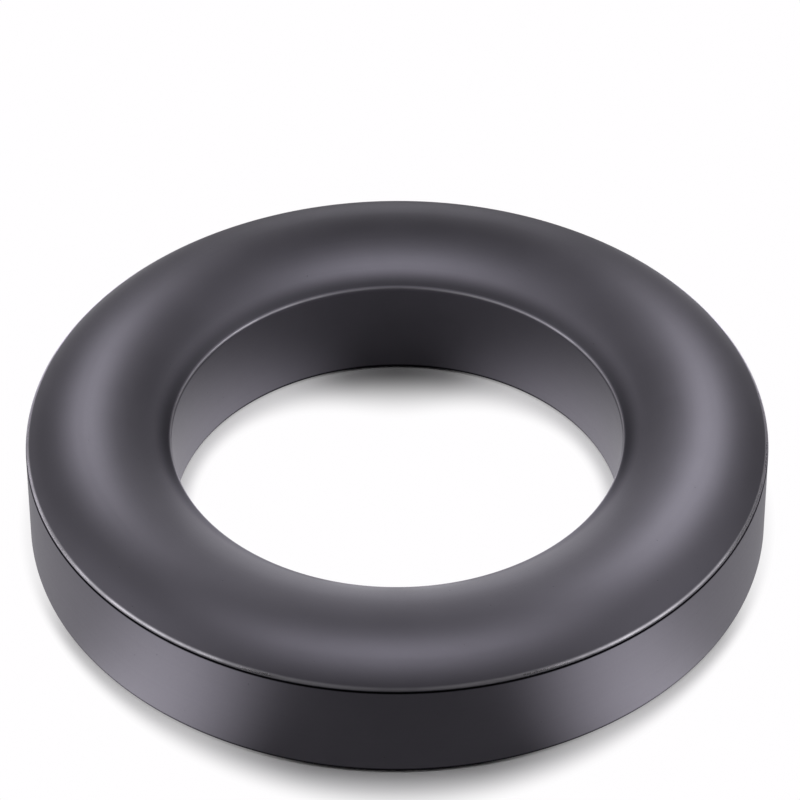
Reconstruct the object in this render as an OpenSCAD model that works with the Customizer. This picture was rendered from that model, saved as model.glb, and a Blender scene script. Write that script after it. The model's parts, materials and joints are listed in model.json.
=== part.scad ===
// Ferrite toroid core: a pressed and sintered ring with a crowned upper face and a flat underside.
// Sizes are in millimetres. The ring lies on its underside, with its axis along Z.

/* [Ring] */
// Outside diameter
core_d = 65; // [60:0.5:100]
// Diameter of the bore
bore_d = 39.5; // [20:0.5:44]
// Overall height, from the underside to the top of the crown
core_h = 12; // [6:0.1:25]

/* [Crown] */
// Rise of the crowned face above its two rims
crown_h = 2.6; // [0.6:0.1:3]

/* [Edges] */
// Round of the outer and inner rim, where the crown meets the walls
rim_r = 0.45; // [0.1:0.05:0.8]
// Round of the outer and inner edge of the underside
base_r = 0.5; // [0.1:0.05:0.8]

/* [Hidden] */
$fn = 180;
ferrite_grey = "#4b494e";

outer_r = core_d / 2;
bore_r = bore_d / 2;
half_w = (outer_r - bore_r) / 2;

// The crown's arc runs through both rims and the top: its radius and its centre
crown_r = (half_w ^ 2 + crown_h ^ 2) / (2 * crown_h);
crown_centre = [bore_r + half_w, core_h - crown_r];

// Centres of the rim rounds, each touching its wall and the crown's arc from inside
rim_z = crown_centre.y + sqrt((crown_r - rim_r) ^ 2 - (half_w - rim_r) ^ 2);
inner_rim = [bore_r + rim_r, rim_z];
outer_rim = [outer_r - rim_r, rim_z];

// The rim rounds stand this much proud of the crown's arc, so that the two curves cross in one clean point
rim_lap = 0.0001;
// The sides of the crown's sector reach this many times as far as the rim rounds' centres, past the arc
sector_reach = 2;

// Cap of the crown: its disc, cut to the sector between the two rim rounds' centres
module crown_cap() {
  intersection() {
    translate(crown_centre) circle(crown_r - rim_lap);
    polygon([
      inner_rim,
      outer_rim,
      crown_centre + sector_reach * (outer_rim - crown_centre),
      crown_centre + sector_reach * [0, crown_r],
      crown_centre + sector_reach * (inner_rim - crown_centre)
    ]);
  }
}

// Half section of the ring, with the axis at x = 0 and the underside at y = 0
module ring_section() {
  crown_cap();
  polygon([
    [bore_r, rim_z],
    [bore_r, base_r],
    [bore_r + base_r, 0],
    [outer_r - base_r, 0],
    [outer_r, base_r],
    [outer_r, rim_z]
  ]);
  for (centre = [inner_rim, outer_rim]) translate(centre) circle(rim_r);
  for (x = [bore_r + base_r, outer_r - base_r]) translate([x, base_r]) circle(base_r);
}

module core() {
  color(ferrite_grey) rotate_extrude() ring_section();
}

core();
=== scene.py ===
"""Ferrite toroid core: a pressed and sintered ring with a crowned upper face, in a plain studio."""

import json
from collections import namedtuple
from math import atan2, cos, pi, radians, sin, sqrt

import bmesh
import bpy
from bpy.props import FloatProperty, FloatVectorProperty, IntProperty, PointerProperty
from bpy.types import Operator, Panel, PropertyGroup, Scene
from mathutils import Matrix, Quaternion, Vector


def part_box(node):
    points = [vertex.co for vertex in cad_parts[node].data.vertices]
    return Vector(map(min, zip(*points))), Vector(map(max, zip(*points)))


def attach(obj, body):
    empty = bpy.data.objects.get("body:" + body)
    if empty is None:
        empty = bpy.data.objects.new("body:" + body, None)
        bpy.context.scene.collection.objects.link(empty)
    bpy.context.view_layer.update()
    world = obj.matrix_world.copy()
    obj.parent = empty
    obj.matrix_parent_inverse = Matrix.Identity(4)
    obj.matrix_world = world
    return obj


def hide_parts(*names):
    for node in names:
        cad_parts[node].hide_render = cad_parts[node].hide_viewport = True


bl_info = {
    "name": "Ferrite Toroid Core",
    "version": (1, 0, 0),
    "blender": (4, 5, 0),
    "location": "3D View > Sidebar > Toroid Core",
    "description": "Makes a pressed ferrite ring core and the studio that shows it",
    "category": "Object",
}

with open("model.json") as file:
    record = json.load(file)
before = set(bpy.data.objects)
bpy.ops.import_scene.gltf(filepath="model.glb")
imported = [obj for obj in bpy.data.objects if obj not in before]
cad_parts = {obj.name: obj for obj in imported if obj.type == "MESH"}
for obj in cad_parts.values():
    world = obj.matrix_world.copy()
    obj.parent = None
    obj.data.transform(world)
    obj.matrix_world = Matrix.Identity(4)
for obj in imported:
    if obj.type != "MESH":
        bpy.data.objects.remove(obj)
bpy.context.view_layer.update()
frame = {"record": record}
CORE_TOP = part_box("core")[1]
MOUNTS = {mount["name"]: mount for mount in frame["record"]["mounts"]}
MM = 0.001


# Sizes and colours that a user would change


class RingSizes(PropertyGroup):
    """The ring's section and how finely it is divided"""

    outer_radius: FloatProperty(
        name="Outer radius",
        description="Radius of the straight outer wall",
        default=MOUNTS["outer_wall"]["dims"]["r_mm"] * MM,
        unit="LENGTH",
    )
    bore_radius: FloatProperty(
        name="Bore radius",
        description="Radius of the straight bore",
        default=MOUNTS["bore"]["dims"]["r_mm"] * MM,
        unit="LENGTH",
    )
    height: FloatProperty(
        name="Height",
        description="From the underside to the top of the crown",
        default=CORE_TOP.z,
        unit="LENGTH",
    )
    crown_rise: FloatProperty(
        name="Crown rise",
        description="Rise of the crowned face above its two rims",
        default=2.6 * MM,
        unit="LENGTH",
    )
    rim_round: FloatProperty(
        name="Rim round",
        description="Round of the rims, where the crown meets the walls",
        default=0.45 * MM,
        unit="LENGTH",
    )
    base_round: FloatProperty(
        name="Base round",
        description="Round of the two edges of the underside",
        default=0.5 * MM,
        unit="LENGTH",
    )
    turn_steps: IntProperty(
        name="Steps round the ring",
        description="Sections that the ring is divided into",
        default=512,
        min=16,
    )
    crown_steps: IntProperty(
        name="Steps over the crown",
        description="Faces over the crown's arc",
        default=48,
        min=4,
    )
    round_steps: IntProperty(
        name="Steps round an edge",
        description="Faces over each rim round and each base round",
        default=10,
        min=2,
    )


class FerriteFinish(PropertyGroup):
    """Colours and grain of the sintered ferrite"""

    body_colour: FloatVectorProperty(
        name="Body",
        description="Colour of the sintered body",
        default=(0.018, 0.017, 0.0195),
        subtype="COLOR",
        min=0,
        max=1,
    )
    mottle_colour: FloatVectorProperty(
        name="Mottling",
        description="Colour of the paler clouds in the sintered body",
        default=(0.024, 0.0225, 0.026),
        subtype="COLOR",
        min=0,
        max=1,
    )
    # Partly real wear and partly painted highlight: the light band along the rims
    rub_and_highlight_colour: FloatVectorProperty(
        name="Rubbed edges",
        description="Colour of the rims where handling has rubbed them",
        default=(0.65, 0.625, 0.68),
        subtype="COLOR",
        min=0,
        max=1,
    )
    # Painted shade: the dark lines under the outer rim and along the base, the pores and the band above
    # the inner rim all take this colour
    painted_shade_colour: FloatVectorProperty(
        name="Pressing line",
        description="Colour of the fine dark lines, the pores and the dull band above the inner rim",
        default=(0.004, 0.004, 0.005),
        subtype="COLOR",
        min=0,
        max=1,
    )
    sheen_colour: FloatVectorProperty(
        name="Sheen",
        description="Tint of the surface's reflections",
        default=(0.88, 0.835, 1.0),
        subtype="COLOR",
        min=0,
        max=1,
    )
    ior: FloatProperty(
        name="Refractive index",
        description="Refractive index of the ferrite, which gives its strong sheen",
        default=2.3,
        min=1,
        max=4,
    )
    roughness: FloatProperty(
        name="Roughness",
        description="Roughness of the satin surface",
        default=0.5,
        subtype="FACTOR",
        min=0,
        max=1,
    )
    rubbed_roughness: FloatProperty(
        name="Rubbed roughness",
        description="Roughness of the rims where handling has rubbed them",
        default=0.25,
        subtype="FACTOR",
        min=0,
        max=1,
    )
    rubbed_metallic: FloatProperty(
        name="Rubbed lustre",
        description="Share of metal lustre on the rims where handling has rubbed them",
        default=0.95,
        subtype="FACTOR",
        min=0,
        max=1,
    )
    # Roughness of the painted shade lines, which keeps gloss off them
    line_roughness: FloatProperty(
        name="Pressing line roughness",
        description="Roughness of the fine dark lines",
        default=0.9,
        subtype="FACTOR",
        min=0,
        max=1,
    )
    relief: FloatProperty(
        name="Relief",
        description="Height that the grain, the turning marks and the pores are measured by",
        default=0.004 * MM,
        unit="LENGTH",
    )


class Studio(PropertyGroup):
    """Floor, backdrop and camera"""

    floor_colour: FloatVectorProperty(
        name="Floor",
        description="Colour of the white floor and of the backdrop",
        default=(1.0, 0.99, 1.0),
        subtype="COLOR",
        min=0,
        max=1,
    )
    paper_colour: FloatVectorProperty(
        name="Paper",
        description="Colour of the paper in the ring's shadow",
        default=(0.85, 0.84, 0.86),
        subtype="COLOR",
        min=0,
        max=1,
    )
    floor_radius: FloatProperty(
        name="Floor radius",
        description="Radius of the floor",
        default=6.0,
        unit="LENGTH",
    )
    # The strip shows lamp-lit paper with its real shadow, faded to plain white by a painted profile
    shadow_reach: FloatProperty(
        name="Shadow reach",
        description="Width of the strip beside the ring's foot that takes its shadow",
        default=5 * MM,
        unit="LENGTH",
    )
    # Painted shadow: these two darken the paper's colour at the ring's foot
    hole_shade: FloatProperty(
        name="Shade in the hole",
        description="Share of the paper's light that is lost behind, at the foot of the bore's wall",
        default=0.8,
        subtype="FACTOR",
        min=0,
        max=1,
    )
    front_shade: FloatProperty(
        name="Shade in front",
        description="Share of the paper's light that is lost at the front foot of the outer wall",
        default=0.22,
        subtype="FACTOR",
        min=0,
        max=1,
    )
    # Painted light: these two lift the painted shadow to plain white beside the ring
    side_light: FloatProperty(
        name="Light beside the foot",
        description="Share of the shadow that is lifted to the left and right",
        default=0.35,
        subtype="FACTOR",
        min=0,
        max=1,
    )
    edge_light: FloatProperty(
        name="Light at the far sides",
        description="Further share of the shadow that is lifted at the far left and right of the ring",
        default=0.5,
        subtype="FACTOR",
        min=0,
        max=1,
    )
    # Painted reflections: the floor's glow, seen only in the ring's gloss
    bore_glow: FloatProperty(
        name="Glow beside the bore",
        description="Brightness of the floor to the left and right in the bore, as the ring mirrors it",
        default=1.3,
    )
    wall_glow: FloatProperty(
        name="Glow beside the wall",
        description="Brightness of the floor to the left and right of the ring, as the ring mirrors it",
        default=1.7,
    )
    foot_glow: FloatProperty(
        name="Glow at the foot",
        description="Brightness of the floor all round the outer wall, as the ring mirrors it",
        default=0.18,
    )
    horizon_glow: FloatProperty(
        name="Glow of the horizon",
        description="Brightness of the backdrop's foot behind and to the left, as the ring mirrors it",
        default=0.35,
    )
    camera_distance: FloatProperty(
        name="Camera distance",
        description="From the middle of the ring's underside to the camera",
        default=0.445,
        unit="LENGTH",
    )
    camera_elevation: FloatProperty(
        name="Camera elevation",
        description="Angle of the camera above the floor",
        default=radians(42.2),
        subtype="ANGLE",
    )
    camera_roll: FloatProperty(
        name="Camera roll",
        description="Turn of the camera round its own axis",
        default=radians(-0.16),
        subtype="ANGLE",
    )
    aim_rise: FloatProperty(
        name="Aim, upwards",
        description="How far the camera aims above the middle of the underside, across its line of sight",
        default=10 * MM,
        unit="LENGTH",
    )
    aim_right: FloatProperty(
        name="Aim, to the right",
        description="How far the camera aims to the right of the middle of the underside",
        default=0.27 * MM,
        unit="LENGTH",
    )
    lens: FloatProperty(
        name="Lens",
        description="Focal length of the camera",
        default=225.3,
        subtype="DISTANCE_CAMERA",
    )


# Shader sockets as Python values


class Wire:
    """A shader socket that takes part in sums: each operator adds its Math node"""

    def __init__(self, tree, socket):
        self.tree = tree
        self.socket = socket

    def math(self, operation, *values):
        """A Math node on wires and numbers"""
        return node(self.tree, "ShaderNodeMath", {"operation": operation}, dict(enumerate(values)))

    def __add__(self, other):
        return self.math("ADD", self, other)

    def __sub__(self, other):
        return self.math("SUBTRACT", self, other)

    def __rsub__(self, other):
        return self.math("SUBTRACT", other, self)

    def __mul__(self, other):
        return self.math("MULTIPLY", self, other)

    def __truediv__(self, other):
        return self.math("DIVIDE", self, other)

    def __rtruediv__(self, other):
        return self.math("DIVIDE", other, self)

    def __abs__(self):
        return self.math("ABSOLUTE", self)

    __radd__ = __add__
    __rmul__ = __mul__

    def highest(self, other):
        """The larger of two values"""
        return self.math("MAXIMUM", self, other)

    def step(self, low, high):
        """A smooth step from 0 at low to 1 at high"""
        return node(
            self.tree,
            "ShaderNodeMapRange",
            {"interpolation_type": "SMOOTHSTEP"},
            {"Value": self, "From Min": low, "From Max": high},
        )


def node(tree, kind, settings=None, sockets=None, output=0):
    """Add a node, set its settings, fill its sockets with values or wires, and give back one output"""
    made = tree.nodes.new(kind)
    for name, value in (settings or {}).items():
        setattr(made, name, value)
    for name, value in (sockets or {}).items():
        if isinstance(value, Wire):
            tree.links.new(value.socket, made.inputs[name])
        else:
            made.inputs[name].default_value = value
    return Wire(tree, made.outputs[output]) if len(made.outputs) else None


def parts_of(wire):
    """The three parts of a vector"""
    split = node(wire.tree, "ShaderNodeSeparateXYZ", sockets={0: wire})
    return [Wire(wire.tree, output) for output in split.socket.node.outputs]


def from_axis(place):
    """Distance of a place from the ring's axis"""
    flat = node(place.tree, "ShaderNodeVectorMath", {"operation": "MULTIPLY"}, {0: place, 1: (1, 1, 0)})
    return node(place.tree, "ShaderNodeVectorMath", {"operation": "LENGTH"}, {0: flat}, output="Value")


# The Mix node's sockets for colours, by number, because it has several of each name
MIX_SHARE, MIX_PLAIN, MIX_OTHER, MIX_RESULT = 0, 6, 7, 2
BLACK = (0, 0, 0)


def opaque(colour):
    """The four numbers that a socket takes for a colour of three"""
    return (*colour, 1)


def mix_colours(tree, share, plain, other):
    """A colour between two colours, each a wire or three numbers, by the share of the other"""
    plain, other = (end if isinstance(end, Wire) else opaque(end) for end in (plain, other))
    return node(
        tree,
        "ShaderNodeMix",
        {"data_type": "RGBA"},
        {MIX_SHARE: share, MIX_PLAIN: plain, MIX_OTHER: other},
        output=MIX_RESULT,
    )


def band(wire, middle, edge):
    """1 where a value is near the middle, fading to 0 between the two half widths of the edge"""
    return 1 - abs(wire - middle).step(*edge)


def noise(tree, sockets, dimensions="3D"):
    """The value of a noise texture"""
    return node(tree, "ShaderNodeTexNoise", {"noise_dimensions": dimensions}, sockets)


def new_material(name):
    """An empty material with a node tree"""
    material = bpy.data.materials.new(name)
    material.use_nodes = True
    material.node_tree.nodes.clear()
    return material


# The ring


# Features in a millimetre of the surface, by kind, and the octaves of detail in them
CLOUD_DENSITY, CLOUD_DETAIL = 0.25, 3
GRAIN_DENSITY, GRAIN_DETAIL = 6, 2
TURN_DENSITY, TURN_DETAIL = 2.5, 2
PORE_DENSITY = 0.9
# The mean of a noise texture, and the values of it that the paler clouds rise between
NOISE_MEAN = 0.5
CLOUD_EDGE = (0.3, 0.7)
# What the grain and the turning marks add to the roughness, and to the relief
GRAIN_ROUGH, TURN_ROUGH = 0.08, 0.04
GRAIN_RELIEF, TURN_RELIEF = 0.5, 0.25
# A pore fades out between these shares of its cell, and a cell has one if its chance passes these values
PORE_EDGE, PORE_CHANCE = (0.03, 0.07), (0.7, 0.72)
# How dark a pore is painted as shade in its pit, what it adds to the roughness, and its depth in the
# measure of the relief
PORE_SHADE, PORE_ROUGH, PORE_DEPTH = 0.7, 0.2, 4

# A point's run past a rim is its height above the rim plus this share of its distance in from the wall
RIM_LEAN = 0.42
# Past the middle of the crown, the outer half takes over from the inner one within this many millimetres
HALF_FADE = 1
# Bands along the rims, in millimetres of that run: the middle, and the half widths that they fade between
# The rubbed bands are partly wear and partly a painted highlight along the rims
RUB_RISE, RUB_EDGE = 0.2, (0.04, 0.26)
INNER_RISE, INNER_EDGE = 0.12, (0.04, 0.14)
# The line band is painted shade under the outer rim
SHADE_LINE_RISE, SHADE_LINE_EDGE = -0.1, (0.05, 0.2)
# Half widths of the band that is smooth at each rim, with no grain and no pores
SMOOTH_EDGE = (0.4, 0.8)
# The painted shade band above the inner rim: where it begins, where it fades out, and how strong it is
INNER_SHADE_START, INNER_SHADE_END, INNER_SHADE_SHARE = (0.25, 0.4), (0.6, 2), 0.55
# The inner rim's light band, wear and painted highlight, is this share of the outer one's
INNER_RUB_HIGHLIGHT = 0.55
# The rims' light band is a painted highlight strongest to the left and right: least at the front and
# back, and in full from this sine of the angle to either side
LEAST_HIGHLIGHT, FULL_HIGHLIGHT = 0.25, 0.4
# Where the clouds are dark the rims are rubbed by this share, and in full as the clouds pass these values
PATCH_WEAR, PATCH_EDGE = 0.7, (0.3, 0.6)
# Heights in millimetres that the painted shade line along the base fades between
BASE_SHADE_EDGE = (0.3, 0.55)

SectionPoint = namedtuple("SectionPoint", "radius height normal")
EdgeBands = namedtuple("EdgeBands", "smooth rubbed line dull")


def arc(centre, radius, start, end, steps):
    """Section points along an arc, from the start angle to the end angle, with their outward normals"""
    points = []
    for step in range(steps + 1):
        angle = start + (end - start) * step / steps
        normal = Vector((cos(angle), sin(angle)))
        place = centre + radius * normal
        points.append(SectionPoint(place.x, place.y, normal))
    return points


def ring_section(sizes):
    """The ring's closed section, counter-clockwise: base, outer wall, crown and bore"""
    middle = (sizes.outer_radius + sizes.bore_radius) / 2
    half_width = (sizes.outer_radius - sizes.bore_radius) / 2
    crown_radius = (half_width**2 + sizes.crown_rise**2) / (2 * sizes.crown_rise)
    crown_centre = Vector((middle, sizes.height - crown_radius))
    rim_offset = half_width - sizes.rim_round
    rim_height = sqrt((crown_radius - sizes.rim_round) ** 2 - rim_offset**2)
    rim_angle = atan2(rim_height, rim_offset)
    foot_offset = half_width - sizes.base_round

    def at(offset, height):
        return Vector((middle + offset, height))

    outer_rim = at(rim_offset, crown_centre.y + rim_height)
    inner_rim = at(-rim_offset, crown_centre.y + rim_height)
    outer_foot = at(foot_offset, sizes.base_round)
    inner_foot = at(-foot_offset, sizes.base_round)
    rim, foot, steps = sizes.rim_round, sizes.base_round, sizes.round_steps
    return [
        *arc(outer_foot, foot, -pi / 2, 0, steps),
        *arc(outer_rim, rim, 0, rim_angle, steps),
        *arc(crown_centre, crown_radius, rim_angle, pi - rim_angle, sizes.crown_steps)[1:-1],
        *arc(inner_rim, rim, pi - rim_angle, pi, steps),
        *arc(inner_foot, foot, pi, 1.5 * pi, steps),
    ]


def lathe_ring(name, sizes):
    """A watertight ring turned from its section, with the section's own normals"""
    section = ring_section(sizes)
    mesh = bpy.data.meshes.new(name)
    build = bmesh.new()
    rows = []
    normals = []
    for turn in range(sizes.turn_steps):
        angle = 2 * pi * turn / sizes.turn_steps
        outward = Vector((cos(angle), sin(angle), 0))
        row = []
        for point in section:
            row.append(build.verts.new(outward * point.radius + Vector((0, 0, point.height))))
            normals.append(outward * point.normal.x + Vector((0, 0, point.normal.y)))
        rows.append(row)
    for turn, row in enumerate(rows):
        ahead = rows[(turn + 1) % len(rows)]
        for step in range(len(section)):
            after = (step + 1) % len(section)
            build.faces.new((row[step], ahead[step], ahead[after], row[after])).smooth = True
    build.to_mesh(mesh)
    build.free()
    mesh.normals_split_custom_set_from_vertices(normals)
    ring = bpy.data.objects.new(name, mesh)
    bpy.context.collection.objects.link(ring)
    return ring


def pore_spots(tree, spot):
    """1 in the few tiny pores of the surface, and 0 round them"""
    cells = node(tree, "ShaderNodeTexVoronoi", sockets={"Vector": spot, "Scale": PORE_DENSITY})
    distance, tint = (Wire(tree, cells.socket.node.outputs[name]) for name in ("Distance", "Color"))
    chance = parts_of(tint)[0]
    return (1 - distance.step(*PORE_EDGE)) * chance.step(*PORE_CHANCE)


def edge_bands(spot, radius, sizes):
    """Where the ring's edges are smooth, light with wear and painted highlight, dark with painted shade
    lines, and dull with painted shade, each a share from 0 to 1
    """
    middle = (sizes.outer_radius + sizes.bore_radius) / 2 / MM
    half_width = (sizes.outer_radius - sizes.bore_radius) / 2 / MM
    rim_height = (sizes.height - sizes.crown_rise) / MM
    across, _, height = parts_of(spot)
    from_wall = half_width - abs(radius - middle)
    rim_run = height - rim_height + from_wall * RIM_LEAN
    outer = radius.step(middle, middle + HALF_FADE)
    inner = 1 - outer

    # Painted highlight: the rims' band is brighter to the left and right, where the light catches them
    side_highlight = LEAST_HIGHLIGHT + (abs(across) / radius).step(0, FULL_HIGHLIGHT) * (1 - LEAST_HIGHLIGHT)
    outer_rub_highlight = outer * band(rim_run, RUB_RISE, RUB_EDGE)
    inner_rub_highlight = inner * band(rim_run, INNER_RISE, INNER_EDGE) * INNER_RUB_HIGHLIGHT
    # Painted shade: a dark line under the outer rim and along the foot of both walls
    rim_shade_line = outer * band(rim_run, SHADE_LINE_RISE, SHADE_LINE_EDGE)
    base_shade_line = 1 - height.step(*BASE_SHADE_EDGE)
    return EdgeBands(
        smooth=band(rim_run, 0, SMOOTH_EDGE),
        rubbed=(outer_rub_highlight + inner_rub_highlight) * side_highlight,
        line=rim_shade_line.highest(base_shade_line),
        # Painted shade: the crown darkens above the inner rim
        dull=inner * rim_run.step(*INNER_SHADE_START) * (1 - rim_run.step(*INNER_SHADE_END)) * INNER_SHADE_SHARE,
    )


def ferrite(finish, sizes):
    """Satin dark grey ferrite: mottled, grained and turned, with rims painted light as wear and
    highlight, and painted shade in fine dark lines, in the pores and above the inner rim
    """
    material = new_material("sintered_ferrite")
    tree = material.node_tree
    place = node(tree, "ShaderNodeTexCoord", output="Object")
    spot = node(tree, "ShaderNodeVectorMath", {"operation": "SCALE"}, {0: place, "Scale": 1 / MM})
    radius = from_axis(spot)
    height = parts_of(spot)[2]
    edges = edge_bands(spot, radius, sizes)

    clouds = noise(tree, {"Vector": spot, "Scale": CLOUD_DENSITY, "Detail": CLOUD_DETAIL})
    grain = noise(tree, {"Vector": spot, "Scale": GRAIN_DENSITY, "Detail": GRAIN_DETAIL})
    turned = noise(tree, {"W": radius + height, "Scale": TURN_DENSITY, "Detail": TURN_DETAIL}, "1D")
    pores = pore_spots(tree, spot) * (1 - edges.smooth)
    # Wear in random patches, and a painted highlight along the rims
    rubbed = edges.rubbed * (PATCH_WEAR + clouds.step(*PATCH_EDGE) * (1 - PATCH_WEAR))
    # Painted shade: the dark lines and the band above the inner rim
    dark = edges.line.highest(edges.dull)

    body = mix_colours(tree, clouds.step(*CLOUD_EDGE), finish.body_colour, finish.mottle_colour)
    # Painted shade in the pores' pits
    pored = mix_colours(tree, pores * PORE_SHADE, body, finish.painted_shade_colour)
    rubbed_and_highlit = mix_colours(tree, rubbed, pored, finish.rub_and_highlight_colour)
    colour = mix_colours(tree, dark, rubbed_and_highlit, finish.painted_shade_colour)
    rough = finish.roughness + (grain - NOISE_MEAN) * GRAIN_ROUGH + (turned - NOISE_MEAN) * TURN_ROUGH
    rough = rough + rubbed * (finish.rubbed_roughness - finish.roughness) + pores * PORE_ROUGH
    rough = rough + edges.line * (finish.line_roughness - finish.roughness)
    relief = (grain * GRAIN_RELIEF + turned * TURN_RELIEF) * (1 - edges.smooth) - pores * PORE_DEPTH
    bump = node(
        tree,
        "ShaderNodeBump",
        sockets={"Strength": 1, "Distance": finish.relief, "Height": relief},
    )
    shader = node(
        tree,
        "ShaderNodeBsdfPrincipled",
        sockets={
            "Base Color": colour,
            "Metallic": dark.highest(rubbed * finish.rubbed_metallic),
            "Roughness": rough,
            "IOR": finish.ior,
            "Specular Tint": opaque(finish.sheen_colour),
            "Normal": bump,
        },
    )
    node(tree, "ShaderNodeOutputMaterial", sockets={"Surface": shader})
    return material


class CORE_OT_press_ring(Operator):
    """Turn the ring from its section, give it the ferrite finish and put it in the place of the solid"""

    bl_idname = "toroid_core.press_ring"
    bl_label = "Press the ring"

    def execute(self, context):
        sizes = context.scene.ring_sizes
        if sizes.bore_radius >= sizes.outer_radius:
            raise ValueError("the bore has to be smaller than the ring")
        ring = lathe_ring("toroid_ring", sizes)
        ring.data.materials.append(ferrite(context.scene.ferrite_finish, sizes))
        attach(ring, "root")
        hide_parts("core")
        return {"FINISHED"}


# The studio


Lamp = namedtuple("Lamp", "name place aim width height watts")

# Places and aims are in millimetres from the middle of the ring's underside, widths and heights too
LAMPS = (
    Lamp("top_box", place=(0, -35, 300), aim=(0, 0, 0), width=200, height=80, watts=0.27),
    Lamp("left_strip", place=(-37, 31, 42), aim=(-41, 31, 0), width=40, height=23, watts=0.0097),
    Lamp("right_strip", place=(37, 24, 42), aim=(43, 23, 0), width=60, height=22, watts=0.0128),
    Lamp("middle_strip", place=(3, -2, 28), aim=(3, -28, 10), width=44, height=18, watts=0.0012),
    Lamp("left_box", place=(-230, -50, 160), aim=(0, 0, 10), width=230, height=130, watts=0.11),
    Lamp("right_box", place=(230, -50, 160), aim=(0, 0, 10), width=230, height=130, watts=0.11),
    Lamp("left_low_strip", place=(-280, 40, 45), aim=(0, 0, 10), width=300, height=70, watts=0.05),
    Lamp("right_low_strip", place=(280, 40, 45), aim=(0, 0, 10), width=300, height=70, watts=0.0125),
    Lamp("rear_strip", place=(0, 280, 50), aim=(0, 0, 0), width=100, height=50, watts=0.035),
    Lamp("rear_box", place=(0, 220, 200), aim=(0, 0, 10), width=200, height=150, watts=0.0075),
    Lamp("left_hole_strip", place=(-8, -5, 7.5), aim=(-15, -16, 7.5), width=18, height=15, watts=0.0008),
    Lamp("front_hole_strip", place=(0, -9, 4), aim=(0, -30, 4), width=10, height=8, watts=0.00018),
    Lamp("right_hole_strip", place=(8, -5, 7.5), aim=(15, -16, 7.5), width=18, height=15, watts=0.0008),
)

# Sides of the round floor
FLOOR_SIDES = 96
# Width of the camera's sensor in millimetres
SENSOR_WIDTH = 36

# The floor in the hole and the floor outside each begin this far under the ring, past their wall
FOOT_EDGE = 2 * MM
# Nearer to the axis than this, the floor counts as being this far from it
AXIS_GAP = MM

# Painted reflections: how the floor glows, seen only where the ring mirrors it. Sines are of the angle
# from the front or the back.
# Sines that the outer wall's side glow rises between and falls between, and how much it falls by
WALL_RISE, WALL_FALL, WALL_DROP = (0.32, 0.68), (0.7, 0.9), 0.6
# Sines that the bore's side glow rises between, and the glow that is at its foot all round
BORE_RISE, BORE_FOOT = (0.1, 0.9), 0.05
# The glow fades out between these distances from the bore's wall and from the outer wall
HOLE_FADE = (2 * MM, 14 * MM)
WALL_FADE = (15 * MM, 50 * MM)
# Brightness of the floor where its glow is full
FULL_GLOW = 2
# The horizon's glow rises with the way behind the axis, less the lean times the way to its right,
# between these shares of the whole distance
REAR_RISE, REAR_LEAN = (0, 0.6), 0.7
# Upward parts of a direction that the horizon's glow fades between, in the backdrop
HORIZON_EDGE = (0.05, 0.25)

# How the painted shadow lies on the floor, by the same sines.
# The hole's shade rises over this distance behind the axis, and all shade ends at this sine
HOLE_BACK, SHADE_END = 10 * MM, 0.8
# The shadow is wider in the hole and narrower to the left and right, by these shares
HOLE_WIDER, SIDE_NARROWER = 0.45, 0.75
# The share of the shadow's width that stays fully dark at the foot
FOOT_DARK = 0.06
# Sines that the side light and the far side light rise between
SIDE_RISE, EDGE_RISE = (0.2, 0.6), (0.85, 1)

FloorSpot = namedtuple("FloorSpot", "outside inside in_hole sideways behind back")


def hang_lamp(lamp):
    """A soft box that faces its aim and isn't seen by the camera"""
    light = bpy.data.lights.new(lamp.name, "AREA")
    light.shape = "RECTANGLE"
    light.size = lamp.width * MM
    light.size_y = lamp.height * MM
    light.energy = lamp.watts
    box = bpy.data.objects.new(lamp.name, light)
    box.location = Vector(lamp.place) * MM
    box.rotation_euler = (Vector(lamp.place) - Vector(lamp.aim)).to_track_quat("Z", "Y").to_euler()
    box.visible_camera = False
    bpy.context.collection.objects.link(box)


def seen_directly(tree):
    """Two wires: 1 for rays from the camera or through glass, and 1 for rays that a surface mirrors"""
    path = node(tree, "ShaderNodeLightPath")
    outputs = path.socket.node.outputs
    camera, glossy, through = (
        Wire(tree, outputs[f"Is {ray} Ray"]) for ray in ("Camera", "Glossy", "Transmission")
    )
    return camera.highest(through), glossy * (1 - camera)


def floor_spot(tree, sizes):
    """Where a point of the floor lies from the ring's walls and axis, as wires"""
    place = node(tree, "ShaderNodeTexCoord", output="Object")
    across, along, _ = parts_of(place)
    radius = from_axis(place).highest(AXIS_GAP)
    inside = sizes.bore_radius - radius
    return FloorSpot(
        outside=radius - sizes.outer_radius,
        inside=inside,
        in_hole=inside.step(-FOOT_EDGE, 0),
        sideways=abs(across) / radius,
        behind=(along - across * REAR_LEAN) / radius,
        back=along.step(0, HOLE_BACK),
    )


def floor_glow(spot, studio):
    """Brightness of the floor's painted reflection glow, seen only as the ring mirrors it, as a share of
    the full glow
    """
    by_bore = spot.in_hole * (1 - spot.inside.step(*HOLE_FADE))
    by_wall = spot.outside.step(-FOOT_EDGE, 0) * (1 - spot.outside.step(*WALL_FADE))
    bore = spot.sideways.step(*BORE_RISE) * studio.bore_glow + BORE_FOOT
    sides = spot.sideways.step(*WALL_RISE) * (1 - spot.sideways.step(*WALL_FALL) * WALL_DROP)
    wall = sides * studio.wall_glow + studio.foot_glow
    rear = spot.outside.step(*WALL_FADE) * spot.behind.step(*REAR_RISE) * studio.horizon_glow
    return (by_bore * bore + by_wall * wall + rear) / FULL_GLOW


def shaded_paper(tree, spot, studio):
    """The paper's colour, painted darker as the ring's shadow at its foot"""
    hole_loss = studio.hole_shade - studio.front_shade
    loss = studio.front_shade + spot.in_hole * spot.back * hole_loss
    shade = (1 - spot.sideways.step(0, SHADE_END)) * loss
    return mix_colours(tree, shade, studio.paper_colour, BLACK)


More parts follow.
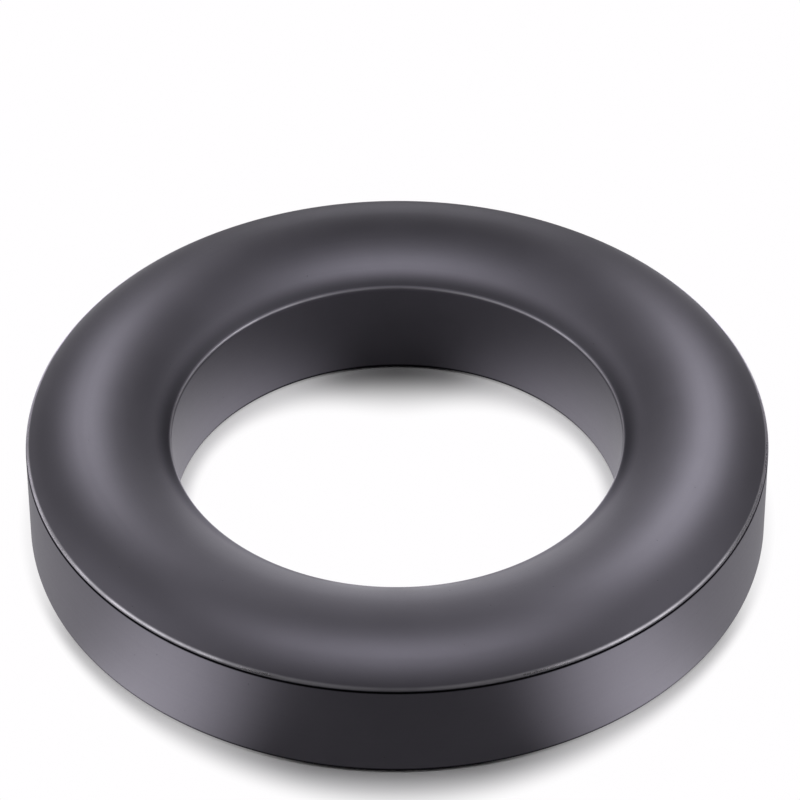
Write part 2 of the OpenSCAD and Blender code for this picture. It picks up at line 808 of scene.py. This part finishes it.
def out_of_shadow(spot, studio):
    """How far the floor is lifted out of the lamp-lit paper to plain white, a painted shadow profile from
    0 to 1
    """
    lifted = spot.sideways.step(*SIDE_RISE) * studio.side_light
    lifted = lifted + (1 - spot.in_hole) * spot.sideways.step(*EDGE_RISE) * studio.edge_light
    wider = 1 + spot.in_hole * HOLE_WIDER
    narrower = 1 - spot.sideways.step(0, 1) * SIDE_NARROWER
    reach = wider * narrower * studio.shadow_reach
    clear = (spot.outside.highest(spot.inside) / reach).step(FOOT_DARK, 1)
    return clear + lifted * (1 - clear)


def white_floor(studio, sizes):
    """White paper with the ring's shadow at its foot, partly real and partly painted, and a painted
    reflection glow that only the ring's gloss sees
    """
    material = new_material("white_paper")
    tree = material.node_tree
    spot = floor_spot(tree, sizes)
    straight, mirrored = seen_directly(tree)
    white = opaque(studio.floor_colour)

    paper = node(tree, "ShaderNodeBsdfDiffuse", sockets={"Color": shaded_paper(tree, spot, studio)})
    bright = node(tree, "ShaderNodeEmission", sockets={"Color": white, "Strength": 1})
    clear = straight * out_of_shadow(spot, studio)
    seen = node(tree, "ShaderNodeMixShader", sockets={0: clear, 1: paper, 2: bright})

    # Painted reflection: the floor's glow, which only mirrored rays see
    black = node(tree, "ShaderNodeBsdfDiffuse", sockets={"Color": opaque(BLACK)})
    glowing = node(tree, "ShaderNodeEmission", sockets={"Color": white, "Strength": FULL_GLOW})
    painted_reflection = node(tree, "ShaderNodeMixShader", sockets={0: floor_glow(spot, studio), 1: black, 2: glowing})

    floor = node(tree, "ShaderNodeMixShader", sockets={0: mirrored, 1: seen, 2: painted_reflection})
    node(tree, "ShaderNodeOutputMaterial", sockets={"Surface": floor})
    return material


def lay_floor(studio, sizes):
    """A round floor under the ring"""
    mesh = bpy.data.meshes.new("floor")
    build = bmesh.new()
    bmesh.ops.create_circle(build, cap_ends=True, segments=FLOOR_SIDES, radius=studio.floor_radius)
    build.to_mesh(mesh)
    build.free()
    floor = bpy.data.objects.new("floor", mesh)
    mesh.materials.append(white_floor(studio, sizes))
    bpy.context.collection.objects.link(floor)


def light_world(studio):
    """White where it is seen directly, with a glow at the rear horizon where the ring mirrors it"""
    world = bpy.data.worlds.new("studio_world")
    world.use_nodes = True
    tree = world.node_tree
    tree.nodes.clear()
    across, along, up = parts_of(node(tree, "ShaderNodeTexCoord", output="Generated"))
    straight, mirrored = seen_directly(tree)
    level = 1 - abs(up).step(*HORIZON_EDGE)
    glow = level * (along - across * REAR_LEAN).step(*REAR_RISE) * studio.horizon_glow
    dark = node(tree, "ShaderNodeBackground", sockets={"Color": opaque(BLACK)})
    white = node(tree, "ShaderNodeBackground", sockets={"Color": opaque(studio.floor_colour)})
    sky = node(tree, "ShaderNodeMixShader", sockets={0: straight + mirrored * glow, 1: dark, 2: white})
    node(tree, "ShaderNodeOutputWorld", sockets={"Surface": sky})
    bpy.context.scene.world = world


def place_camera(studio):
    """A long lens at the camera's elevation, aimed above and right of the middle of the underside"""
    camera = bpy.data.cameras.new("camera")
    camera.lens = studio.lens
    camera.sensor_width = SENSOR_WIDTH
    holder = bpy.data.objects.new("camera", camera)
    back = Vector((0, -cos(studio.camera_elevation), sin(studio.camera_elevation)))
    up = Vector((0, sin(studio.camera_elevation), cos(studio.camera_elevation)))
    aim = studio.aim_rise * up + Vector((studio.aim_right, 0, 0))
    holder.location = studio.camera_distance * back
    level = (holder.location - aim).to_track_quat("Z", "Y")
    holder.rotation_euler = (level @ Quaternion((0, 0, 1), studio.camera_roll)).to_euler()
    bpy.context.collection.objects.link(holder)
    bpy.context.scene.camera = holder


class CORE_OT_set_stage(Operator):
    """Lay the floor, hang the lamps, light the backdrop and place the camera"""

    bl_idname = "toroid_core.set_stage"
    bl_label = "Set the stage"

    def execute(self, context):
        studio = context.scene.core_studio
        lay_floor(studio, context.scene.ring_sizes)
        for lamp in LAMPS:
            hang_lamp(lamp)
        light_world(studio)
        place_camera(studio)
        context.scene.view_settings.view_transform = "Standard"
        return {"FINISHED"}


class CORE_PT_sidebar(Panel):
    """Makes the ring and its studio"""

    bl_idname = "CORE_PT_sidebar"
    bl_label = "Toroid core"
    bl_space_type = "VIEW_3D"
    bl_region_type = "UI"
    bl_category = "Toroid Core"

    def draw(self, context):
        for operator, groups in PANEL_ROWS:
            self.layout.operator(operator.bl_idname)
            for group in groups:
                for name in group.__annotations__:
                    self.layout.prop(getattr(context.scene, SCENE_GROUPS[group]), name)


SCENE_GROUPS = {RingSizes: "ring_sizes", FerriteFinish: "ferrite_finish", Studio: "core_studio"}
PANEL_ROWS = (
    (CORE_OT_press_ring, (RingSizes, FerriteFinish)),
    (CORE_OT_set_stage, (Studio,)),
)
CLASSES = (*SCENE_GROUPS, CORE_OT_press_ring, CORE_OT_set_stage, CORE_PT_sidebar)


def register():
    for made in CLASSES:
        bpy.utils.register_class(made)
    for group, name in SCENE_GROUPS.items():
        setattr(Scene, name, PointerProperty(type=group))


def unregister():
    for name in SCENE_GROUPS.values():
        delattr(Scene, name)
    for made in reversed(CLASSES):
        bpy.utils.unregister_class(made)


def main():
    """Make the ring and the stage"""
    register()
    bpy.ops.toroid_core.press_ring()
    bpy.ops.toroid_core.set_stage()


if __name__ == "__main__":
    main()
